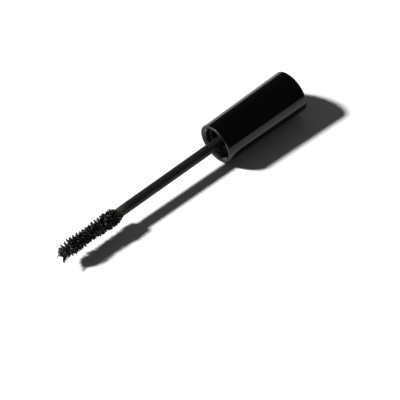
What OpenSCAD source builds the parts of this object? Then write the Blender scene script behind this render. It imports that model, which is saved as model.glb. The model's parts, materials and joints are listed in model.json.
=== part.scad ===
// Mascara applicator: an overcap, an inner screw cap, a sealing washer, a rod and a loaded brush.
// It lies on its side along X with the brush towards -X, and the overcap's side touches z = 0.
// Every sub-part is first drawn upright about Z, where z counts from the overcap's open mouth:
// positive into the overcap, negative towards the brush. Lengths are in millimetres.

/* [Overcap] */
// Length from the open mouth to the closed end
overcap_length = 37.6; // [28:0.1:60]
// Outside diameter at the open mouth
mouth_diameter = 16.0; // [14:0.1:24]
// Outside diameter at the closed end
closed_end_diameter = 17.25; // [14:0.1:26]
// Diameter of the bore that grips the inner cap
overcap_bore_diameter = 14.0; // [12:0.1:22]
// Depth of that bore, down to the shoulder that stops the inner cap
overcap_bore_depth = 15.0; // [10:0.1:20]
// Diameter of the hollow where it starts at the shoulder
hollow_diameter = 13.2; // [10:0.1:20]
// Diameter of the hollow where it ends at the closed end
hollow_end_diameter = 12.8; // [10:0.1:20]
// Thickness of the closed end
end_thickness = 2.0; // [1:0.1:4]
// Radius of the rounded edge round the closed end
end_edge_radius = 0.4; // [0.1:0.05:1.5]
// Radius of the rounded outer edge of the mouth
mouth_edge_radius = 0.25; // [0.1:0.05:0.6]
// Bevel on the inner edge of the mouth
mouth_bevel = 0.25; // [0.1:0.05:0.6]
// Number of stiffening ribs in the hollow
hollow_rib_count = 6; // [3:1:12]
// Width of each stiffening rib
hollow_rib_width = 0.8; // [0.5:0.1:2]
// How far each stiffening rib stands out of the hollow's wall
hollow_rib_height = 1.0; // [0.4:0.1:2]
// Gap between the shoulder and the start of the stiffening ribs
hollow_rib_gap = 5.5; // [1:0.1:12]

/* [Inner cap] */
// How far the inner cap sits inside the mouth
inner_cap_recess = 0.15; // [0:0.05:3]
// Outside diameter of the inner cap's skirt
skirt_diameter = 13.7; // [11:0.1:21]
// Number of grip ribs round the skirt
grip_rib_count = 24; // [12:1:48]
// Width of each grip rib
grip_rib_width = 0.6; // [0.3:0.1:1.2]
// Clearance between the grip ribs and the overcap's bore
grip_clearance = 0.02; // [0:0.01:0.1]
// Bore that takes a bottle's threaded neck
neck_bore_diameter = 12.2; // [9:0.1:18]
// Bevel at the entry of the neck bore
neck_entry_bevel = 0.65; // [0.1:0.05:0.7]
// Thickness of the web that carries the rod
web_thickness = 1.5; // [0.8:0.1:3]
// Outside diameter of the boss behind the web
boss_diameter = 6.4; // [4:0.1:10]
// Length of the boss behind the web
boss_length = 5.0; // [2:0.1:10]
// Bevel round the back of the boss
boss_bevel = 0.3; // [0.1:0.05:0.6]

/* [Screw thread] */
// Axial distance between turns
thread_pitch = 2.8; // [1.5:0.1:5]
// Number of turns
thread_turns = 1.5; // [1:0.25:3]
// Height of the ridge above the neck bore
thread_height = 0.5; // [0.3:0.05:1]
// Width of the ridge at its root
thread_root_width = 1.3; // [0.6:0.1:2]
// Width of the ridge at its crest
thread_crest_width = 0.5; // [0.2:0.1:1]
// Distance from the inner cap's rim to the start of the ridge
thread_start = 2.4; // [1:0.1:5]

/* [Sealing washer] */
// Thickness of the washer
washer_thickness = 0.8; // [0.4:0.1:2]
// Outside diameter of the washer
washer_diameter = 11.0; // [8:0.1:17]
// Hole diameter of the washer
washer_hole_diameter = 3.0; // [2:0.1:6]

/* [Rod] */
// Length of the rod that shows beyond the mouth
rod_reach = 47.7; // [30:0.1:70]
// Diameter of the rod at the overcap
rod_diameter_at_cap = 3.9; // [2.5:0.1:6]
// Diameter of the rod where its tip taper starts
rod_diameter_at_brush = 3.8; // [2.5:0.1:6]
// Diameter of the rod's end face before its edge is rounded
rod_end_diameter = 3.6; // [2:0.1:5]
// Length of the taper at the rod's end
rod_taper_length = 3.6; // [1:0.1:10]
// Radius of the rounded edge of the rod's end face
rod_edge_radius = 0.45; // [0.1:0.05:1]
// Diameter of the flange that clamps the washer
flange_diameter = 6.0; // [4:0.1:9]
// Thickness of the flange
flange_thickness = 0.8; // [0.4:0.1:2]
// Diameter of the spigot pressed through the web and the boss
spigot_diameter = 2.9; // [2:0.1:5]
// Clearance round the spigot
spigot_clearance = 0.02; // [0:0.01:0.1]
// Diameter of the barb that locks the spigot behind the boss
barb_diameter = 3.4; // [2.4:0.1:6]
// Length of the barb
barb_length = 1.4; // [0.6:0.1:3]
// Diameter of the blind hole that holds the twisted wires
wire_hole_diameter = 1.38; // [1:0.02:2.5]
// Depth of the blind hole
wire_hole_depth = 11.5; // [5:0.1:20]

/* [Brush] */
// Diameter of each wire strand
strand_diameter = 0.6; // [0.4:0.05:1]
// Distance from the brush's axis to the middle of each strand
strand_offset = 0.37; // [0.25:0.01:0.6]
// Axial length of one full turn of the twisted wires
twist_pitch = 2.75; // [2:0.05:6]
// Turn of the wires in the plane of the mouth
twist_start = -17; // [-90:1:90]
// Distance from the mouth to the tip of the brush
brush_end = 73.8; // [50:0.1:100]
// How far the strands stop short of the tip
strand_set_back = 0.6; // [0.2:0.1:2]
// Diameter of each bristle
bristle_diameter = 0.12; // [0.06:0.01:0.25]
// Axial distance between bristles
bristle_spacing = 0.14; // [0.13:0.01:0.4]
// Clear distance between the rod's end and the first bristle
bristle_set_back = 0.4; // [0.1:0.1:2]
// Diameter over the bristles next to the rod
brush_start_diameter = 5.0; // [3:0.1:9]
// Diameter over the bristles at the broad part near the rod
brush_base_diameter = 6.7; // [4:0.1:10]
// Diameter over the bristles at the waist
brush_waist_diameter = 5.7; // [3:0.1:9]
// Diameter over the bristles at the broad part near the tip
brush_bulge_diameter = 6.8; // [4:0.1:10]
// Diameter over the bristles at the last one
brush_tip_diameter = 4.8; // [2:0.1:7]

/* [Mascara] */
// How much of the bristles' length the ridges of mascara cover
paste_cover = 0.66; // [0.4:0.01:0.9]
// Diameter of the mascara between the ridges
paste_core_diameter = 2.1; // [1.6:0.1:4]
// Diameter of the blunt end of mascara at the tip
paste_tip_diameter = 1.3; // [1:0.1:3]
// Exponent that sets how narrow the ridges are
ridge_sharpness = 1.6; // [0.5:0.1:4]

/* [Hidden] */
// Sub-parts that can be drawn

$fn = 96;
arc_steps = 6;
strand_sides = 8;
strand_rings_per_turn = 10;
bristle_sides = 6;
paste_sides = 16;
paste_ring_step = 0.25;
thread_step_angle = 7.5;
thread_fade_angle = 45;
thread_sink = 0.1;
overlap = 0.5;
grip_rib_end_gap = 0.5;
full_turn = 360;

mouth_radius = mouth_diameter / 2;
end_radius = closed_end_diameter / 2;
bore_radius = overcap_bore_diameter / 2;
hollow_radius = hollow_diameter / 2;
hollow_end_radius = hollow_end_diameter / 2;
hollow_end = overcap_length - end_thickness;
skirt_radius = skirt_diameter / 2;
neck_bore_radius = neck_bore_diameter / 2;
web_back = overcap_bore_depth;
web_front = web_back - web_thickness;
boss_back = web_back + boss_length;
washer_front = web_front - washer_thickness;
flange_front = washer_front - flange_thickness;
spigot_radius = spigot_diameter / 2;
barb_radius = barb_diameter / 2;
rod_end_radius = rod_end_diameter / 2;
wire_hole_radius = wire_hole_diameter / 2;
strand_radius = strand_diameter / 2;
strand_length = brush_end - strand_set_back - rod_reach + wire_hole_depth;
first_bristle = rod_reach + bristle_set_back;
last_bristle = brush_end - strand_set_back - bristle_diameter;
bristle_count = floor((last_bristle - first_bristle) / bristle_spacing) + 1;

// Distance from the mouth to the stations of the brush's hourglass outline
base_station = rod_reach + 2.8;
waist_station = rod_reach + 13.0;
bulge_station = rod_reach + 18.8;
brush_outline = [
    [rod_reach, brush_start_diameter / 2],
    [base_station, brush_base_diameter / 2],
    [waist_station, brush_waist_diameter / 2],
    [bulge_station, brush_bulge_diameter / 2],
    [brush_end, brush_tip_diameter / 2]
];
outline_blend = 1.2;

// The overcap is a slight cone, so the part leans by this angle when the cone's side lies flat
lean = atan((end_radius - mouth_radius) / overcap_length);
end_reach = (overcap_length - end_edge_radius) * cos(lean)
          + (end_radius - end_edge_radius) * sin(lean) + end_edge_radius;
tip_reach = brush_end * cos(lean) + paste_tip_diameter / 2 * sin(lean);
centre_shift = (tip_reach - end_reach) / 2;

overcap_colour = [0.02, 0.02, 0.02];
inner_cap_colour = [0.03, 0.03, 0.03];
washer_colour = [0.12, 0.12, 0.12];
rod_colour = [0.05, 0.05, 0.045];
wire_colour = [0.45, 0.45, 0.46];
bristle_colour = [0.02, 0.02, 0.02];
paste_colour = [0.01, 0.01, 0.01];

overcap();
inner_cap();
sealing_washer();
rod();
wire_strand_a();
wire_strand_b();
bristles();
mascara_paste();

// Points of an arc in the profile plane, as [radius, height]
function arc(centre, r, from, to) =
    [for (i = [0 : arc_steps])
        let (t = from + (to - from) * i / arc_steps)
        [centre[0] + r * cos(t), centre[1] + r * sin(t)]];

// Outside radius of the overcap at a height above its mouth
function cone_radius(z) = mouth_radius + (end_radius - mouth_radius) * z / overcap_length;

// Radius over the bristles at a distance from the mouth, with the outline's corners smoothed
function brush_radius(s) =
    (lookup(s - outline_blend, brush_outline) + 2 * lookup(s, brush_outline)
     + lookup(s + outline_blend, brush_outline)) / 4;

// Angle of the line through both strands at a distance from the mouth
function twist_angle(s) = twist_start + full_turn * s / twist_pitch;

// Triangles of a closed skin over rings of points, with a middle point for each end
function skin_faces(rings, sides) =
    let (low = rings * sides, high = low + 1, last = (rings - 1) * sides)
    concat(
        [for (i = [0 : rings - 2], j = [0 : sides - 1])
            [i * sides + j, (i + 1) * sides + j, (i + 1) * sides + (j + 1) % sides]],
        [for (i = [0 : rings - 2], j = [0 : sides - 1])
            [i * sides + j, (i + 1) * sides + (j + 1) % sides, i * sides + (j + 1) % sides]],
        [for (j = [0 : sides - 1]) [low, j, (j + 1) % sides]],
        [for (j = [0 : sides - 1]) [high, last + (j + 1) % sides, last + j]]
    );

// Lays an upright sub-part down along X, on its cone's side
module lay_down() {
    translate([centre_shift, 0, mouth_radius * cos(lean)])
        rotate([0, 90 - lean, 0])
            children();
}

// Glossy cap that the hand holds
module overcap() {
    color(overcap_colour)
        lay_down()
            union() {
                rotate_extrude()
                    polygon(overcap_profile());
                for (i = [0 : hollow_rib_count - 1])
                    rotate([0, 0, full_turn * i / hollow_rib_count])
                        hollow_rib();
            }
}

function overcap_profile() = concat(
    [[bore_radius + mouth_bevel, 0]],
    arc([cone_radius(mouth_edge_radius) - mouth_edge_radius, mouth_edge_radius],
        mouth_edge_radius, -90, 0),
    arc([cone_radius(overcap_length - end_edge_radius) - end_edge_radius,
         overcap_length - end_edge_radius], end_edge_radius, 0, 90),
    [[0, overcap_length], [0, hollow_end], [hollow_end_radius, hollow_end],
     [hollow_radius, overcap_bore_depth], [bore_radius, overcap_bore_depth],
     [bore_radius, mouth_bevel]]
);

module hollow_rib() {
    rib_start = overcap_bore_depth + hollow_rib_gap;
    translate([hollow_end_radius - hollow_rib_height, -hollow_rib_width / 2, rib_start])
        cube([hollow_rib_height + overlap, hollow_rib_width, hollow_end + overlap - rib_start]);
}

// Threaded insert pressed into the overcap, with a boss for the rod
module inner_cap() {
    color(inner_cap_colour)
        lay_down()
            union() {
                rotate_extrude()
                    polygon(inner_cap_profile());
                grip_ribs();
                thread_ridge();
            }
}

function inner_cap_profile() =
    let (hole = spigot_radius + spigot_clearance)
    [[neck_bore_radius + neck_entry_bevel, inner_cap_recess], [skirt_radius, inner_cap_recess],
     [skirt_radius, web_back], [boss_diameter / 2, web_back],
     [boss_diameter / 2, boss_back - boss_bevel],
     [boss_diameter / 2 - boss_bevel, boss_back], [hole, boss_back], [hole, web_front],
     [neck_bore_radius, web_front], [neck_bore_radius, inner_cap_recess + neck_entry_bevel]];

module grip_ribs() {
    rib_start = inner_cap_recess + grip_rib_end_gap;
    rib_length = web_back - grip_rib_end_gap - rib_start;
    intersection() {
        translate([0, 0, rib_start])
            cylinder(h = rib_length, r = bore_radius - grip_clearance);
        for (i = [0 : grip_rib_count - 1])
            rotate([0, 0, full_turn * i / grip_rib_count])
                translate([skirt_radius - overlap / 2, -grip_rib_width / 2, rib_start - overlap])
                    cube([overlap, grip_rib_width, rib_length + 2 * overlap]);
    }
}

// One ring of four points across the thread ridge, outermost first
function thread_ring(turned) =
    let (swept = thread_turns * full_turn,
         fade = min(1, turned / thread_fade_angle, (swept - turned) / thread_fade_angle),
         crest = neck_bore_radius - thread_height * fade,
         root = neck_bore_radius + thread_sink,
         z = inner_cap_recess + thread_start + thread_pitch * turned / full_turn,
         section = [[root, z - thread_root_width / 2], [crest, z - thread_crest_width / 2],
                    [crest, z + thread_crest_width / 2], [root, z + thread_root_width / 2]])
    [for (p = section) [p[0] * cos(turned), p[0] * sin(turned), p[1]]];

module thread_ridge() {
    steps = thread_turns * full_turn / thread_step_angle;
    rings = [for (i = [0 : steps]) thread_ring(i * thread_step_angle)];
    points = concat([for (ring = rings) each ring],
                    [(rings[0][0] + rings[0][3]) / 2, (rings[steps][0] + rings[steps][3]) / 2]);
    polyhedron(points = points, faces = skin_faces(steps + 1, 4));
}

// Soft washer that a bottle's rim presses against
module sealing_washer() {
    color(washer_colour)
        lay_down()
            translate([0, 0, washer_front])
                difference() {
                    cylinder(h = washer_thickness, r = washer_diameter / 2);
                    translate([0, 0, -overlap])
                        cylinder(h = washer_thickness + 2 * overlap, r = washer_hole_diameter / 2);
                }
}

// Stem between the inner cap and the brush
module rod() {
    color(rod_colour)
        lay_down()
            rotate_extrude()
                polygon(rod_profile());
}

function rod_profile() = concat(
    [[wire_hole_radius, -rod_reach]],
    arc([rod_end_radius - rod_edge_radius, -rod_reach + rod_edge_radius], rod_edge_radius, -90, 0),
    [[rod_diameter_at_brush / 2, -rod_reach + rod_taper_length],
     [rod_diameter_at_cap / 2, flange_front], [flange_diameter / 2, flange_front],
     [flange_diameter / 2, washer_front], [spigot_radius, washer_front],
     [spigot_radius, boss_back], [barb_radius, boss_back],
     [barb_radius, boss_back + barb_length / 3], [spigot_radius - mouth_bevel, boss_back + barb_length],
     [0, boss_back + barb_length], [0, -rod_reach + wire_hole_depth],
     [wire_hole_radius, -rod_reach + wire_hole_depth]]
);

// One ring of points square to a strand, at a distance from the mouth
function strand_ring(s, phase) =
    let (t = twist_angle(s) + phase,
         slope = -2 * PI * strand_offset / twist_pitch,
         inward = [cos(t), sin(t), 0],
         along = [-sin(t) * slope, cos(t) * slope, 1] / sqrt(1 + slope * slope),
         across = cross(along, inward),
         middle = strand_offset * inward - [0, 0, s])
    [for (j = [0 : strand_sides - 1])
        let (v = full_turn * j / strand_sides)
        middle + strand_radius * (cos(v) * inward + sin(v) * across)];

// One wire strand of the twisted pair, from inside the rod to the tip of the brush
module strand(phase) {
    steps = ceil(strand_length / twist_pitch * strand_rings_per_turn);
    low_end = brush_end - strand_set_back;
    stations = [for (i = [0 : steps]) low_end - strand_length * i / steps];
    points = concat([for (s = stations) each strand_ring(s, phase)],
                    [ring_middle(strand_ring(stations[0], phase)),
                     ring_middle(strand_ring(stations[steps], phase))]);
    polyhedron(points = points, faces = skin_faces(steps + 1, strand_sides));
}

function ring_middle(ring) = (ring[0] + ring[strand_sides / 2]) / 2;

module wire_strand_a() {
    color(wire_colour)
        lay_down()
            strand(0);
}

module wire_strand_b() {
    color(wire_colour)
        lay_down()
            strand(full_turn / 2);
}

// Bristles pinched between the strands, each one square to the line through both strands
module bristles() {
    color(bristle_colour)
        lay_down()
            for (i = [0 : bristle_count - 1])
                bristle(first_bristle + i * bristle_spacing);
}

module bristle(s) {
    translate([0, 0, -s])
        rotate([0, 0, twist_angle(s) + 90])
            rotate([0, 90, 0])
                cylinder(h = 2 * brush_radius(s), r = bristle_diameter / 2, center = true,
                         $fn = bristle_sides);
}

// Height of the mascara's ridges above its core, fading out at both ends of the brush
function paste_radius(s, angle_from_row) =
    let (core = paste_core_diameter / 2,
         room = brush_end - s,
         end_core = min(core, paste_tip_diameter / 2 + room),
         ridge = max(0, min(paste_cover * brush_radius(s) - core, room)),
         share = pow(pow(cos(angle_from_row), 2), ridge_sharpness))
    end_core + ridge * share;

function paste_ring(s) =
    [for (j = [0 : paste_sides - 1])
        let (v = full_turn * j / paste_sides,
             r = paste_radius(s, v - twist_angle(s) - 90))
        [r * cos(v), r * sin(v), -s]];

// Wet mascara held in ridges along the twisted rows of bristles
module mascara_paste() {
    steps = ceil((brush_end - rod_reach) / paste_ring_step);
    stations = [for (i = [0 : steps]) brush_end - (brush_end - rod_reach) * i / steps];
    points = concat([for (s = stations) each paste_ring(s)],
                    [[0, 0, -brush_end], [0, 0, -rod_reach]]);
    color(paste_colour)
        lay_down()
            difference() {
                polyhedron(points = points, faces = skin_faces(steps + 1, paste_sides));
                translate([0, 0, -brush_end + strand_set_back])
                    cylinder(h = brush_end - strand_set_back - rod_reach + overlap,
                             r = wire_hole_radius);
            }
}
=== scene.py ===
import collections
import json
import math
import random

import bpy
import numpy as np
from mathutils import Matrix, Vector


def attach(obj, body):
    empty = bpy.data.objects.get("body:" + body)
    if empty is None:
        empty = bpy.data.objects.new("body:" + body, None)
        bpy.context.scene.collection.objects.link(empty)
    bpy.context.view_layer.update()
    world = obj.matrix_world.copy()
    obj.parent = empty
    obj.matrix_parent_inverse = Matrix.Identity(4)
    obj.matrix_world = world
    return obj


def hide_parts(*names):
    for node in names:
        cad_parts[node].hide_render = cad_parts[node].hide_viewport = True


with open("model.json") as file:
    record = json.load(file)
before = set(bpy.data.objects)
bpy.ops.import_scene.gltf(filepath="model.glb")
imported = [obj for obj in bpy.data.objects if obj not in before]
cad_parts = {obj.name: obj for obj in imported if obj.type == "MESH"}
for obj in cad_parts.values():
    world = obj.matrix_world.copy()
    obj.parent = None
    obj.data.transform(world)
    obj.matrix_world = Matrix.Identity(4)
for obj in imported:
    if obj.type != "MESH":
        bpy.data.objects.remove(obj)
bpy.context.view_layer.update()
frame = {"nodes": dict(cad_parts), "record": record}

bl_info = {
    "name": "Mascara Wand Builder",
    "version": (1, 0, 0),
    "blender": (4, 5, 0),
    "location": "View3D > Sidebar > Mascara Wand",
    "description": "Finishes a mascara wand's cap, stem and loaded brush around its solid model",
    "category": "Add Mesh",
}

MM = 0.001
BODY = "root"
MOUNTS = {mount["name"]: mount for mount in frame["record"]["mounts"]}

# The wand's own axes: along runs from the cap's mouth into the cap, up leans with the cap,
# and back points away from the viewer's side. Distances along are counted from the mouth.
ALONG = Vector(MOUNTS["closed_end_face"]["axis"]).normalized()
BACK = Vector((0.0, 1.0, 0.0))
UP = ALONG.cross(BACK).normalized()
INNER_CAP_RECESS = 0.15 * MM
MOUTH = Vector(MOUNTS["neck_socket"]["pos_m"]) - ALONG * INNER_CAP_RECESS

# The turn round the wire where paste sags and hangs: towards the floor, on the viewer's side.
LOW_SIDE = math.radians(-60.0)
FULL_TURN = 2 * math.pi

# Where a point of a surface is: the point itself in millimetres, its distance along the wand and
# from the wand's line, and 1 straight above that line to -1 straight below it.
Spot = collections.namedtuple("Spot", "place along radius facing")


def mm(*sizes):
    return [size * MM for size in sizes]


class Value:
    """A number that varies over a surface. Python's operators add Math nodes to it."""

    def __init__(self, nodes, socket):
        self.nodes = nodes
        self.socket = socket

    def _maths(self, operation, *terms, clamp=False):
        settings = {"operation": operation, "use_clamp": clamp}
        return self.nodes.node("ShaderNodeMath", settings, dict(enumerate(terms)))

    def __add__(self, other):
        return self._maths("ADD", self, other)

    def __radd__(self, other):
        return self._maths("ADD", other, self)

    def __sub__(self, other):
        return self._maths("SUBTRACT", self, other)

    def __rsub__(self, other):
        return self._maths("SUBTRACT", other, self)

    def __mul__(self, other):
        return self._maths("MULTIPLY", self, other)

    def __rmul__(self, other):
        return self._maths("MULTIPLY", other, self)

    def __truediv__(self, other):
        return self._maths("DIVIDE", self, other)

    def __pow__(self, other):
        return self._maths("POWER", self, other)

    def step(self, low, high):
        """0 below low, 1 above high, and smooth between them."""
        share = self._maths("DIVIDE", self - low, high - low, clamp=True)
        return share * share * (3.0 - 2.0 * share)


class Nodes:
    """A node tree, with one method that adds any node."""

    def __init__(self, tree):
        self.tree = tree
        tree.nodes.clear()

    def feed(self, socket, value):
        if isinstance(value, Value):
            self.tree.links.new(value.socket, socket)
        else:
            socket.default_value = value

    def node(self, kind, settings=None, sockets=None, result=0):
        """Adds one node: its settings first, then its sockets. Returns one of its outputs."""
        node = self.tree.nodes.new(kind)
        for name, setting in (settings or {}).items():
            setattr(node, name, setting)
        for name, value in (sockets or {}).items():
            self.feed(node.inputs[name], value)
        return Value(self, node.outputs[result]) if node.outputs else None

    def noise(self, place, scale, detail=2.0, roughness=0.5):
        return self.node("ShaderNodeTexNoise", None,
                         {"Vector": place, "Scale": scale, "Detail": detail,
                          "Roughness": roughness})

    def dot(self, vector, axis):
        return self.node("ShaderNodeVectorMath", {"operation": "DOT_PRODUCT"},
                         {0: vector, 1: tuple(axis)}, result=1)

    def stretched(self, place, scale):
        return self.node("ShaderNodeVectorMath", {"operation": "MULTIPLY"}, {0: place, 1: scale})

    def mix_colour(self, share, low, high):
        return self.node("ShaderNodeMix", {"data_type": "RGBA"},
                         {"Factor": share, 6: low, 7: high}, result=2)

    def bump(self, height, strength, distance):
        return self.node("ShaderNodeBump", None,
                         {"Height": height, "Strength": strength, "Distance": distance})


class Finish(Nodes):
    """A surface's material."""

    def __init__(self, name):
        self.material = bpy.data.materials.new(name)
        self.material.use_nodes = True
        super().__init__(self.material.node_tree)

    def spot(self):
        """Where the shaded point is on the wand's own axes."""
        point = self.node("ShaderNodeVectorMath", {"operation": "SUBTRACT"},
                          {0: self.object_point(), 1: tuple(MOUTH)})
        point = self.node("ShaderNodeVectorMath", {"operation": "SCALE"},
                          {0: point, "Scale": 1.0 / MM})
        along, back, up = (self.dot(point, axis) for axis in (ALONG, BACK, UP))
        radius = (back * back + up * up) ** 0.5
        place = self.node("ShaderNodeCombineXYZ", None, {"X": along, "Y": back, "Z": up})
        never_zero = 0.01
        return Spot(place, along, radius, up / (radius + never_zero))

    def object_point(self):
        return self.node("ShaderNodeTexCoord", result=3)

    def shade(self, sockets):
        self.node("ShaderNodeOutputMaterial", None,
                  {"Surface": self.node("ShaderNodeBsdfPrincipled", None, sockets)})
        return self.material


def shaded(colour, level):
    """A colour made lighter or darker."""
    return (*(part * level for part in colour), 1.0)


def grey(level):
    return shaded((1, 1, 1), level)


def lacquer(looks):
    """Gloss black lacquer with finger smudges, hairline scratches and a faint orange peel."""
    finish = Finish("black_lacquer")
    spot = finish.spot()
    smudge = finish.noise(spot.place, 0.28, 3.0).step(0.45, 0.75)
    along_the_cap = finish.stretched(spot.place, (0.25, 7.0, 7.0))
    hairline = finish.noise(along_the_cap, 1.0, 2.0).step(0.66, 0.74)
    speck = finish.noise(spot.place, 8.0, 1.0).step(0.76, 0.8)
    peel = finish.noise(spot.place, 2.4, 2.0)
    bare = (1.0 - spot.radius.step(7.5, 7.8)) * spot.along.step(1.0, 1.3)
    rim = 1.0 - spot.along.step(0.2, 0.35)
    return finish.shade({
        "Base Color": finish.mix_colour(bare, shaded(looks.lacquer, 1.0),
                                        shaded(looks.plastic, 1.0)),
        "Roughness": 0.045 + 0.05 * smudge + 0.06 * hairline + 0.1 * speck + 0.4 * bare + 0.3 * rim,
        "IOR": 1.33,
        "Normal": finish.bump(peel, 0.02, 0.02 * MM),
    })


def moulded(name, colour, roughness, grain):
    """Moulded plastic or rubber with a fine spark-eroded grain and a slightly uneven colour."""
    finish = Finish(name)
    place = finish.spot().place
    cloud = finish.noise(place, 0.7, 3.0)
    pits = finish.noise(place, grain, 3.0, 0.6)
    return finish.shade({
        "Base Color": finish.mix_colour(cloud, shaded(colour, 0.7), shaded(colour, 1.3)),
        "Roughness": roughness - 0.08 + 0.1 * cloud + 0.08 * pits,
        "IOR": 1.4,
        "Normal": finish.bump(pits, 0.15, 0.02 * MM),
    })


def neck_plastic(looks):
    """The inner cap's plastic: polished at its entry and dull on the upper part of its bore."""
    finish = Finish("inner_cap_plastic")
    spot = finish.spot()
    cloud = finish.noise(spot.place, 0.7, 3.0)
    pits = finish.noise(spot.place, 6.0, 3.0, 0.6)
    deep = spot.along.step(0.75, 1.0)
    dull = deep * (0.05 + 0.4 * spot.facing.step(-0.75, -0.3))
    return finish.shade({
        "Base Color": finish.mix_colour(cloud, shaded(looks.plastic, 0.5),
                                        shaded(looks.plastic, 1.0)),
        "Roughness": 0.14 + 0.06 * cloud + 0.05 * pits + dull,
        "IOR": 1.36,
        "Normal": finish.bump(pits, 0.1, 0.02 * MM),
    })


def stem_plastic(looks, brush):
    """Semi-gloss black plastic, streaked where the wiper has dragged mascara along it."""
    finish = Finish("stem_plastic")
    spot = finish.spot()
    streak = finish.noise(finish.stretched(spot.place, (0.12, 2.2, 2.2)), 1.0, 3.0)
    film = finish.noise(spot.place, 0.9, 3.0)
    by_the_brush = -brush.stem_end / MM
    wiped = 1.0 - spot.along.step(by_the_brush + 1.0, by_the_brush + 6.5)
    # Dried mascara by the brush plus a painted sheen: the lighter film is laid only on the stem's
    # upward-facing side, where light falls from above.
    residue_and_sheen = wiped * spot.facing.step(0.0, 0.85) * (0.55 + 0.9 * film)
    clean = finish.mix_colour(streak, shaded(looks.stem, 0.6), shaded(looks.stem, 1.5))
    return finish.shade({
        "Base Color": finish.mix_colour(residue_and_sheen, clean, shaded(looks.residue_and_sheen, 1.0)),
        "Roughness": 0.36 + 0.16 * streak + 0.1 * film,
        "IOR": 1.4,
        "Normal": finish.bump(streak, 0.1, 0.03 * MM),
    })


def stained_wire(name, looks):
    """Drawn steel wire with dried mascara in its hollows."""
    finish = Finish(name)
    place = finish.spot().place
    stain = finish.noise(place, 1.6, 3.0).step(0.42, 0.6)
    drawn = finish.noise(finish.stretched(place, (1.0, 9.0, 9.0)), 1.0, 2.0)
    return finish.shade({
        "Base Color": finish.mix_colour(stain, shaded(looks.wire, 1.0), shaded(looks.paste, 1.0)),
        "Metallic": 1.0 - stain,
        "Roughness": 0.28 + 0.2 * drawn + 0.15 * stain,
        "Normal": finish.bump(drawn, 0.1, 0.02 * MM),
    })


def wet_paste(looks):
    """Wet mascara: black wax and pigment, shiny where it is fresh and duller where it dries."""
    finish = Finish("wet_mascara")
    place = finish.spot().place
    body = finish.noise(place, 1.1, 3.0)
    grain = finish.noise(place, 5.0, 3.0, 0.6)
    return finish.shade({
        "Base Color": finish.mix_colour(body, shaded(looks.paste, 0.5), shaded(looks.paste, 1.8)),
        "Roughness": 0.12 + 0.4 * body,
        "IOR": 1.33,
        "Normal": finish.bump(grain, 0.5, 0.05 * MM),
    })


def cover(node, material):
    mesh = frame["nodes"][node].data
    mesh.materials.clear()
    mesh.materials.append(material)


def colour_of(name, description, default):
    return bpy.props.FloatVectorProperty(name=name, description=description, default=default,
                                         subtype="COLOR", size=3, min=0.0, max=1.0)


class Looks(bpy.types.PropertyGroup):
    """The colours of the wand's materials."""
    lacquer: colour_of("Lacquer", "Gloss lacquer on the overcap", (0.0002, 0.0002, 0.0002))
    plastic: colour_of("Plastic", "Bare plastic inside the cap", (0.0025, 0.0025, 0.0022))
    washer: colour_of("Washer", "Sealing washer", (0.03, 0.03, 0.03))
    stem: colour_of("Stem", "Plastic stem", (0.0028, 0.0026, 0.0022))
    # This colour is dried mascara and also a painted sheen: it is laid only on the stem's upper
    # side by the brush.
    residue_and_sheen: colour_of("Residue", "Dried film on the stem by the brush", (0.021, 0.020, 0.014))
    wire: colour_of("Wire", "Twisted wire", (0.45, 0.45, 0.46))
    bristle: colour_of("Bristle", "Nylon bristles", (0.003, 0.003, 0.0028))
    paste: colour_of("Paste", "Wet mascara", (0.0014, 0.0012, 0.0007))


class StageSizes(bpy.types.PropertyGroup):
    """Where the camera and the light stand."""
    azimuth: bpy.props.FloatProperty(
        name="Camera azimuth", description="Turn of the camera round the wand",
        default=math.radians(-41.91), subtype="ANGLE")
    elevation: bpy.props.FloatProperty(
        name="Camera elevation", description="Height of the camera above the horizon",
        default=math.radians(51.92), subtype="ANGLE")
    distance: bpy.props.FloatProperty(
        name="Camera distance", description="From the camera to its aim on the floor",
        default=0.6947, unit="LENGTH")
    lens: bpy.props.FloatProperty(
        name="Lens", description="Focal length in millimetres", default=174.02, unit="CAMERA")
    aim_behind_mouth: bpy.props.FloatProperty(
        name="Aim behind the mouth",
        description="From the cap's mouth to the aim, towards the brush",
        default=17.05 * MM, unit="LENGTH")
    aim_in_front: bpy.props.FloatProperty(
        name="Aim in front", description="From the wand's line to the aim, towards the viewer",
        default=10.58 * MM, unit="LENGTH")
    key_azimuth: bpy.props.FloatProperty(
        name="Key light azimuth", description="Direction the key light comes from, on the floor",
        default=math.radians(138.53), subtype="ANGLE")
    key_elevation: bpy.props.FloatProperty(
        name="Key light elevation", description="Height of the key light above the horizon",
        default=math.radians(39.98), subtype="ANGLE")
    key_strength: bpy.props.FloatProperty(
        name="Key light strength", description="Irradiance in watts per square metre",
        default=7.2, unit="NONE")
    key_size: bpy.props.FloatProperty(
        name="Key light size", description="Angle that the key light fills",
        default=math.radians(7.2), subtype="ANGLE")
    surround: bpy.props.FloatProperty(
        name="Surround", description="Brightness of the dim studio round the wand",
        default=0.08, subtype="FACTOR", min=0.0, max=1.0)
    viewer_gap: bpy.props.FloatProperty(
        name="Viewer gap", description="How much of the surround is left behind the viewer",
        default=0.25, subtype="FACTOR", min=0.0, max=1.0)
    floor_reach: bpy.props.FloatProperty(
        name="Floor reach", description="Half the floor's width", default=3.0, unit="LENGTH")


def direction(azimuth, elevation):
    return Vector((math.cos(azimuth) * math.cos(elevation),
                   math.sin(azimuth) * math.cos(elevation), math.sin(elevation)))


def toward_viewer(sizes):
    return direction(sizes.azimuth - math.pi / 2, sizes.elevation)


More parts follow.
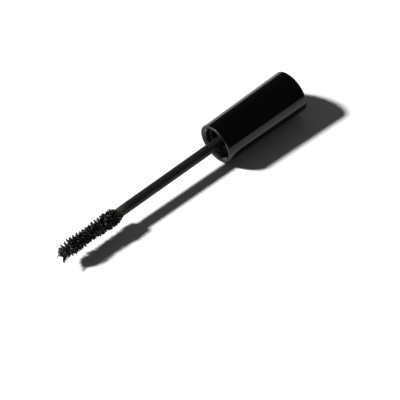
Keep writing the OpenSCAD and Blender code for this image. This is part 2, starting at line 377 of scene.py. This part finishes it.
class WAND_OT_stage(bpy.types.Operator):
    """Sets the camera, the floor and the light"""
    bl_idname = "wand.stage"
    bl_label = "Stage"

    def execute(self, context):
        sizes = context.scene.wand_stage
        self.camera(context.scene, sizes)
        self.floor(context.scene, sizes)
        self.light(context.scene, sizes)
        self.surround(context.scene, sizes)
        context.scene.view_settings.view_transform = "Standard"
        return {"FINISHED"}

    def camera(self, scene, sizes):
        lens = bpy.data.cameras.new("camera")
        lens.lens = sizes.lens
        camera = bpy.data.objects.new("camera", lens)
        aim = Vector((MOUTH.x - sizes.aim_behind_mouth, -sizes.aim_in_front, 0.0))
        back = toward_viewer(sizes)
        camera.location = aim + back * sizes.distance
        camera.rotation_euler = back.to_track_quat("Z", "Y").to_euler()
        lens.clip_start = 0.01
        scene.collection.objects.link(camera)
        scene.camera = camera

    def floor(self, scene, sizes):
        reach = sizes.floor_reach
        mesh = bpy.data.meshes.new("floor")
        mesh.from_pydata([(-reach, -reach, 0), (reach, -reach, 0), (reach, reach, 0),
                          (-reach, reach, 0)], [], [(0, 1, 2, 3)])
        floor = bpy.data.objects.new("floor", mesh)
        finish = Finish("floor_with_painted_light_pool")
        # Painted pool of light: the floor's colour is pale by the wand and darker farther out,
        # standing in for the key light's falloff.
        away = finish.node("ShaderNodeVectorMath", {"operation": "LENGTH"},
                           {0: finish.object_point()}, result=1)
        mesh.materials.append(finish.shade({
            "Base Color": finish.mix_colour(away.step(0.14, 0.4), grey(0.8), grey(0.5)),
            "Roughness": 0.9,
            "Specular IOR Level": 0.2}))
        scene.collection.objects.link(floor)

    def light(self, scene, sizes):
        lamp = bpy.data.lights.new("key_light", "SUN")
        lamp.energy = sizes.key_strength
        lamp.angle = sizes.key_size
        key = bpy.data.objects.new("key_light", lamp)
        toward = direction(sizes.key_azimuth, sizes.key_elevation)
        key.rotation_euler = toward.to_track_quat("Z", "Y").to_euler()
        scene.collection.objects.link(key)

    def surround(self, scene, sizes):
        """A dim room, darker behind the viewer, that looks pale where it is seen directly."""
        world = bpy.data.worlds.new("studio")
        world.use_nodes = True
        room = Nodes(world.node_tree)

        def wall(shade, strength):
            return room.node("ShaderNodeBackground", None,
                             {"Color": grey(shade), "Strength": strength})

        def blend(share, first, second):
            return room.node("ShaderNodeMixShader", None, {0: share, 1: first, 2: second})

        ray = room.node("ShaderNodeTexCoord", result=0)
        by_viewer = room.dot(ray, toward_viewer(sizes)).step(0.6, 0.92)
        dim = blend(by_viewer, wall(1.0, sizes.surround),
                    wall(1.0, sizes.surround * sizes.viewer_gap))
        seen = room.node("ShaderNodeLightPath")
        room.node("ShaderNodeOutputWorld", None, {"Surface": blend(seen, dim, wall(0.85, 1.0))})
        scene.world = world


class WAND_OT_cap(bpy.types.Operator):
    """Finishes the overcap, the inner cap and the sealing washer"""
    bl_idname = "wand.cap"
    bl_label = "Cap"

    def execute(self, context):
        looks = context.scene.wand_looks
        cover("overcap", lacquer(looks))
        cover("inner_cap", neck_plastic(looks))
        cover("sealing_washer", moulded("washer_rubber", looks.washer, 0.7, 12.0))
        return {"FINISHED"}


class WAND_OT_stem(bpy.types.Operator):
    """Finishes the stem and the two wires twisted together in its end"""
    bl_idname = "wand.stem"
    bl_label = "Stem and wire"

    def execute(self, context):
        looks = context.scene.wand_looks
        cover("rod", stem_plastic(looks, context.scene.wand_brush))
        for strand in ("wire_strand_a", "wire_strand_b"):
            cover(strand, stained_wire(strand + "_steel", looks))
        return {"FINISHED"}


class BrushSizes(bpy.types.PropertyGroup):
    """The twisted-wire brush and the mascara on it. Stations are counted from the cap's mouth."""
    stem_end: bpy.props.FloatProperty(
        name="Stem end", description="Where the stem ends and the brush starts",
        default=47.7 * MM, unit="LENGTH")
    brush_end: bpy.props.FloatProperty(
        name="Brush end", description="Where the last bristles stand", default=73.8 * MM,
        unit="LENGTH")
    twist_pitch: bpy.props.FloatProperty(
        name="Twist pitch", description="One full turn of the wire", default=2.75 * MM,
        unit="LENGTH")
    twist_start: bpy.props.FloatProperty(
        name="Twist start", description="Turn of the wire at the cap's mouth",
        default=math.radians(-17.0), subtype="ANGLE")
    start_diameter: bpy.props.FloatProperty(
        name="Start diameter", description="Across the first bristles", default=6.3 * MM,
        unit="LENGTH")
    shoulder_diameter: bpy.props.FloatProperty(
        name="Shoulder diameter", description="Across the full bristles by the stem",
        default=6.8 * MM, unit="LENGTH")
    waist_diameter: bpy.props.FloatProperty(
        name="Waist diameter", description="Across the short bristles in the middle",
        default=5.8 * MM, unit="LENGTH")
    bulge_diameter: bpy.props.FloatProperty(
        name="Bulge diameter", description="Across the long bristles near the tip",
        default=6.9 * MM, unit="LENGTH")
    crown_diameter: bpy.props.FloatProperty(
        name="Crown diameter", description="Across the bristles where the tip starts to round off",
        default=5.8 * MM, unit="LENGTH")
    tip_diameter: bpy.props.FloatProperty(
        name="Tip diameter", description="Across the last bristles", default=2.2 * MM,
        unit="LENGTH")
    bristle_spacing: bpy.props.FloatProperty(
        name="Bristle spacing", description="Between bristles along the wire",
        default=0.11 * MM, unit="LENGTH")
    bristle_diameter: bpy.props.FloatProperty(
        name="Bristle diameter", description="At a bristle's root", default=0.11 * MM,
        unit="LENGTH")
    clump_spacing: bpy.props.FloatProperty(
        name="Clump spacing", description="Between clumps of loaded bristles along the wire",
        default=0.17 * MM, unit="LENGTH")
    skin_grain: bpy.props.FloatProperty(
        name="Skin grain", description="Size of the cells that the paste's skin is made of",
        default=0.1 * MM, unit="LENGTH")
    seed: bpy.props.IntProperty(
        name="Seed", description="Which brush of many alike", default=7, subtype="UNSIGNED")


class Outline:
    """How far the bristles reach from the wire at each station, and how full of paste they are."""

    # Where each diameter is reached, as shares of the brush's length.
    SHARES = (0.0, 0.107, 0.5, 0.74, 0.87, 0.975)

    def __init__(self, sizes):
        self.start = sizes.stem_end
        self.end = sizes.brush_end
        self.pitch = sizes.twist_pitch
        self.turn = sizes.twist_start
        span = self.end - self.start
        self.stations = [self.start + span * share for share in self.SHARES]
        self.radii = [size / 2 for size in (sizes.start_diameter, sizes.shoulder_diameter,
                                            sizes.waist_diameter, sizes.bulge_diameter,
                                            sizes.crown_diameter, sizes.tip_diameter)]

    def reach(self, station):
        near = [station + shift for shift in mm(-0.6, -0.3, 0.0, 0.3, 0.6)]
        return float(np.mean(np.interp(near, self.stations, self.radii)))

    def fullness(self, station):
        """1 by the stem, where paste fills the rows, and 0 where the rows stand apart."""
        share = (station - self.start) / (self.end - self.start)
        return float(np.interp(share, (0.0, 0.3, 0.62, 1.0), (1.0, 0.8, 0.25, 0.12)))

    def row_angle(self, station):
        return FULL_TURN * station / self.pitch + math.pi / 2 + self.turn


def wand_point(station, angle, radius):
    """The point at a station behind the mouth. Angle 0 faces the floor, and a quarter turn BACK."""
    return (MOUTH - ALONG * station
            + (BACK * math.sin(angle) - UP * math.cos(angle)) * radius)


def tip_point(outline, before_end, offset):
    """The point that far before the brush's end, and that far to its low side, in millimetres."""
    return wand_point(outline.end - before_end * MM, LOW_SIDE, offset * MM)


class Shell:
    """Gathers closed limbs and lumps, and makes them one mesh."""

    def __init__(self):
        self.points = []
        self.faces = []

    def limb(self, path, radii, sides=8):
        """A closed tapering limb along a path of points."""
        first = len(self.points)
        last = len(path) - 1
        side = None
        for index, (point, radius) in enumerate(zip(path, radii)):
            run = (path[min(index + 1, last)] - path[max(index - 1, 0)]).normalized()
            if side is None:
                side = run.orthogonal().normalized()
            side = (side - run * side.dot(run)).normalized()
            other = run.cross(side)
            for corner in range(sides):
                turn = FULL_TURN * corner / sides
                outward = side * math.cos(turn) + other * math.sin(turn)
                self.points.append(point + outward * radius)
        for ring in range(last):
            low = first + ring * sides
            for corner in range(sides):
                following = (corner + 1) % sides
                self.faces.append((low + corner, low + following,
                                   low + sides + following, low + sides + corner))
        self.faces.append(tuple(first + corner for corner in reversed(range(sides))))
        self.faces.append(tuple(first + last * sides + corner for corner in range(sides)))

    def lump(self, centre, radius):
        """A rounded lump, as a short limb with a round outline."""
        levels = 6
        smallest_end = 0.08
        path, radii = [], []
        for level in range(levels + 1):
            turn = math.pi * level / levels
            path.append(centre + Vector((0.0, 0.0, -math.cos(turn) * radius)))
            radii.append(max(math.sin(turn), smallest_end) * radius)
        self.limb(path, radii)

    def piece(self, name, material):
        mesh = bpy.data.meshes.new(name)
        mesh.from_pydata([tuple(point) for point in self.points], [], self.faces)
        mesh.materials.append(material)
        mesh.validate()
        piece = bpy.data.objects.new(name, mesh)
        bpy.context.scene.collection.objects.link(piece)
        return piece


def smooth(mesh):
    for face in mesh.polygons:
        face.use_smooth = True


def settle(piece):
    """Turns a piece's modifiers into its mesh."""
    context = bpy.context
    context.view_layer.update()
    evaluated = piece.evaluated_get(context.evaluated_depsgraph_get())
    shaped = bpy.data.meshes.new_from_object(evaluated)
    shaped.name = piece.name
    piece.modifiers.clear()
    piece.data = shaped
    smooth(shaped)


class WAND_OT_paste(bpy.types.Operator):
    """Builds the wet mascara that coats the brush"""
    bl_idname = "wand.paste"
    bl_label = "Wet mascara"

    CRUMBS = 620
    COLLAR_LUMPS = 60
    SHOULDER_LUMPS = 46
    FEWEST_FACES = 5000

    def execute(self, context):
        sizes = context.scene.wand_brush
        self.chance = random.Random(sizes.seed)
        self.outline = Outline(sizes)
        self.shell = Shell()
        self.core()
        self.rows(sizes.clump_spacing)
        self.crumbs()
        self.collar()
        self.tip()
        paste = self.shell.piece("wet_mascara", wet_paste(context.scene.wand_looks))
        self.skin(paste, sizes.skin_grain)
        if len(paste.data.polygons) < self.FEWEST_FACES:
            raise RuntimeError("the paste's skin came out too coarse")
        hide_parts("mascara_paste")
        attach(paste, BODY)
        return {"FINISHED"}

    def skin(self, paste, grain):
        """Melts the limbs and lumps into one wet skin."""
        skin = paste.modifiers.new("skin", "REMESH")
        skin.mode = "VOXEL"
        skin.voxel_size = grain
        soften = paste.modifiers.new("soften", "SMOOTH")
        soften.factor = 0.5
        soften.iterations = 2
        ripple = bpy.data.textures.new("paste_ripple", "CLOUDS")
        ripple.noise_scale = 0.45 * MM
        ripple.noise_depth = 1
        push = paste.modifiers.new("ripple", "DISPLACE")
        push.texture = ripple
        push.strength = 0.22 * MM
        push.mid_level = 0.5
        settle(paste)

    def core(self):
        """The paste round the wire, a little lower than the wire itself."""
        thinnest = 0.6 * MM
        path, radii = [], []
        station = self.outline.start - 0.3 * MM
        while station < self.outline.end - 1.9 * MM:
            reach = self.outline.reach(station)
            full = self.outline.fullness(station)
            path.append(wand_point(station, LOW_SIDE, 0.1 * reach))
            radii.append(max(thinnest, reach * (0.52 + 0.2 * full)))
            station += 0.4 * MM
        radii[-1] *= 0.6
        self.shell.limb(path, radii, 14)

    def rows(self, spacing):
        """Two rows of paste-loaded clumps, opposite each other, that wind round the wire."""
        chance = self.chance
        first_full = self.outline.start + 1.2 * MM
        station = self.outline.start + 0.12 * MM
        while station < self.outline.end - 1.5 * MM:
            reach = self.outline.reach(station)
            full = self.outline.fullness(station)
            over_the_stem = 0.7 * max(0.0, first_full - station)
            for side in (0.0, math.pi):
                angle = self.outline.row_angle(station) + side + chance.gauss(0.0, 0.1)
                length = reach * min(1.02, chance.uniform(0.9, 1.06))
                lean = chance.gauss(0.0, 0.12) * MM - over_the_stem
                drift = chance.gauss(0.0, 0.12)
                path = [wand_point(station + lean * share ** 2, angle + drift * share,
                                   length * share)
                        for share in (0.15, 0.45, 0.7, 0.88, 1.0)]
                thick = (0.36 + 0.16 * full) * chance.uniform(0.8, 1.2) * MM
                tip = (0.13 + 0.04 * full) * chance.uniform(0.7, 1.5) * MM
                self.shell.limb(path, [thick * 1.15, thick, thick * 0.8, thick * 0.55, tip], 7)
                if chance.random() < 0.22:
                    self.shell.lump(path[3], chance.uniform(0.2, 0.3) * MM)
            station += spacing

    def crumbs(self):
        """Short spikes and lumps between the rows, most of them by the stem."""
        chance = self.chance
        first = self.outline.start + 0.1 * MM
        span = self.outline.end - self.outline.start - 0.9 * MM
        for index in range(self.CRUMBS):
            station = first + chance.random() ** 1.35 * span
            full = self.outline.fullness(station)
            reach = self.outline.reach(station)
            sags = index % 2
            angle = chance.gauss(LOW_SIDE, 1.1) if sags else chance.uniform(0.0, FULL_TURN)
            top = reach * min(1.0, chance.uniform(0.66, 0.84) + 0.2 * full)
            path = [wand_point(station, angle, top * part) for part in (0.4, 0.8, 1.0)]
            thick = chance.uniform(0.16, 0.32) * MM
            self.shell.limb(path, [thick * 1.4, thick, thick * 0.35], 7)

    def collar(self):
        """Paste that the stem's end dragged out, thicker on the side that faces the floor."""
        chance = self.chance
        for _ in range(self.COLLAR_LUMPS):
            behind = chance.uniform(-0.6, 2.8)
            angle = chance.gauss(LOW_SIDE, 0.55)
            top = np.interp(behind, (-0.6, 0.3, 0.9, 1.6, 2.8), (3.2, 2.95, 2.6, 2.15, 1.95))
            self.stem_lump(behind, angle, float(top))
        for _ in range(self.SHOULDER_LUMPS):
            behind = chance.uniform(-0.5, 0.75)
            angle = chance.uniform(0.0, FULL_TURN)
            top = np.interp(behind, (-0.5, 0.2, 0.75), (3.0, 2.6, 2.05))
            self.stem_lump(behind, angle, float(top))

    def stem_lump(self, behind, angle, top):
        """A lump that far behind the stem's end, and reaching that far out, in millimetres."""
        spot = wand_point(self.outline.start - behind * MM, angle, (top - 0.3) * MM)
        self.shell.lump(spot, 0.32 * MM)

    def tip(self):
        """The blob on the wire's end, and the clump that hangs from the last bristles."""
        for before_end, offset, radius in ((2.6, -1.0, 0.95), (1.9, -0.5, 0.65),
                                           (1.45, -1.0, 0.5)):
            self.shell.lump(tip_point(self.outline, before_end, offset), radius * MM)
        edge = ((2.2, -2.1), (1.35, -1.5), (0.9, -0.9), (0.75, -0.3))
        near_string = ((2.6, 0.6), (1.5, 1.2), (0.9, 1.9), (0.5, 2.6))
        far_string = ((4.2, 1.6), (3.5, 2.3), (2.5, 2.55), (1.6, 2.65), (0.7, 2.7))
        for places, radii in ((edge, mm(0.3, 0.22, 0.2, 0.16)),
                              (near_string, mm(0.3, 0.17, 0.15, 0.24)),
                              (far_string, mm(0.45, 0.26, 0.16, 0.18, 0.2))):
            self.shell.limb([tip_point(self.outline, *place) for place in places], radii, 7)
        self.shell.lump(tip_point(self.outline, 0.6, 2.85), 0.42 * MM)


class WAND_OT_bristles(bpy.types.Operator):
    """Builds the tapering bristles held in the twisted wire"""
    bl_idname = "wand.bristles"
    bl_label = "Bristles"

    def execute(self, context):
        sizes = context.scene.wand_brush
        self.outline = Outline(sizes)
        self.shell = Shell()
        self.root = sizes.bristle_diameter / 2
        self.rows(random.Random(sizes.seed + 1), sizes.bristle_spacing)
        self.strays()
        nylon = moulded("bristle_nylon", context.scene.wand_looks.bristle, 0.4, 9.0)
        bristles = self.shell.piece("nylon_bristles", nylon)
        smooth(bristles.data)
        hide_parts("bristles")
        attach(bristles, BODY)
        return {"FINISHED"}

    def bristle(self, path, widths, sides=4):
        """One bristle, whose widths are shares of the width at a root."""
        self.shell.limb(path, [self.root * width for width in widths], sides)

    def rows(self, chance, spacing):
        station = self.outline.start + 0.3 * MM
        while station < self.outline.end - 0.8 * MM:
            for side in (0.0, math.pi):
                angle = self.outline.row_angle(station) + side + chance.gauss(0.0, 0.1)
                length = self.outline.reach(station) * chance.uniform(0.94, 1.07)
                lean, drift = chance.gauss(0.0, 0.14) * MM, chance.gauss(0.0, 0.1)
                path = [wand_point(station + lean * share ** 2, angle + drift * share ** 2,
                                   length * share)
                        for share in (0.1, 0.45, 0.75, 1.0)]
                self.bristle(path, (1.0, 0.9, 0.7, 0.3))
            station += spacing

    def strays(self):
        """Bent bristles at the tip: the last one, two fans under it, and three that stick out."""
        def low(before_end, offset):
            return tip_point(self.outline, before_end, offset)

        self.bristle([low(1.2, -0.8), low(0.7, -0.35), low(0.1, 0.0), low(-0.65, 0.56)],
                     (2.6, 3.0, 3.4, 2.2), 5)
        for share in np.linspace(0.0, 1.0, 9):
            first = low(2.6 + 1.4 * share, 0.2 + 0.9 * share)
            last = low(1.2 + 2.1 * share, 0.7 + 1.5 * share)
            self.bristle([first, first.lerp(last, 0.6) - UP * 0.05 * MM, last], (1.0, 0.9, 0.5))
        for share in np.linspace(0.0, 1.0, 8):
            self.bristle([low(2.0 + 2.2 * share, 0.6 + 0.9 * share),
                          low(1.5 + 1.3 * share, 1.3 + 0.7 * share),
                          low(0.8 + 0.5 * share, 2.3 + 0.2 * share)], (2.0, 1.6, 1.6))
        for before_end, offset in ((3.05, 3.7), (1.8, 4.1), (4.6, 3.5)):
            self.bristle([low(before_end + 0.8, 1.2), low(before_end + 0.2, 0.8 * offset),
                          low(before_end + 0.05, 0.96 * offset), low(before_end, offset)],
                         (1.0, 0.7, 0.6, 1.8), 5)


class WAND_PT_panel(bpy.types.Panel):
    """Lists the wand's steps"""
    bl_idname = "WAND_PT_panel"
    bl_label = "Mascara Wand"
    bl_space_type = "VIEW_3D"
    bl_region_type = "UI"
    bl_category = "Mascara Wand"

    def draw(self, context):
        for step in STEPS:
            self.layout.operator(step.bl_idname)


STEPS = (WAND_OT_stage, WAND_OT_cap, WAND_OT_stem, WAND_OT_paste, WAND_OT_bristles)
CLASSES = (Looks, StageSizes, BrushSizes, *STEPS, WAND_PT_panel)


def register():
    for each in CLASSES:
        bpy.utils.register_class(each)
    bpy.types.Scene.wand_looks = bpy.props.PointerProperty(type=Looks)
    bpy.types.Scene.wand_stage = bpy.props.PointerProperty(type=StageSizes)
    bpy.types.Scene.wand_brush = bpy.props.PointerProperty(type=BrushSizes)


def unregister():
    del bpy.types.Scene.wand_brush
    del bpy.types.Scene.wand_stage
    del bpy.types.Scene.wand_looks
    for each in reversed(CLASSES):
        bpy.utils.unregister_class(each)


def main():
    register()
    bpy.ops.wand.stage()
    bpy.ops.wand.cap()
    bpy.ops.wand.stem()
    bpy.ops.wand.paste()
    bpy.ops.wand.bristles()


if __name__ == "__main__":
    main()
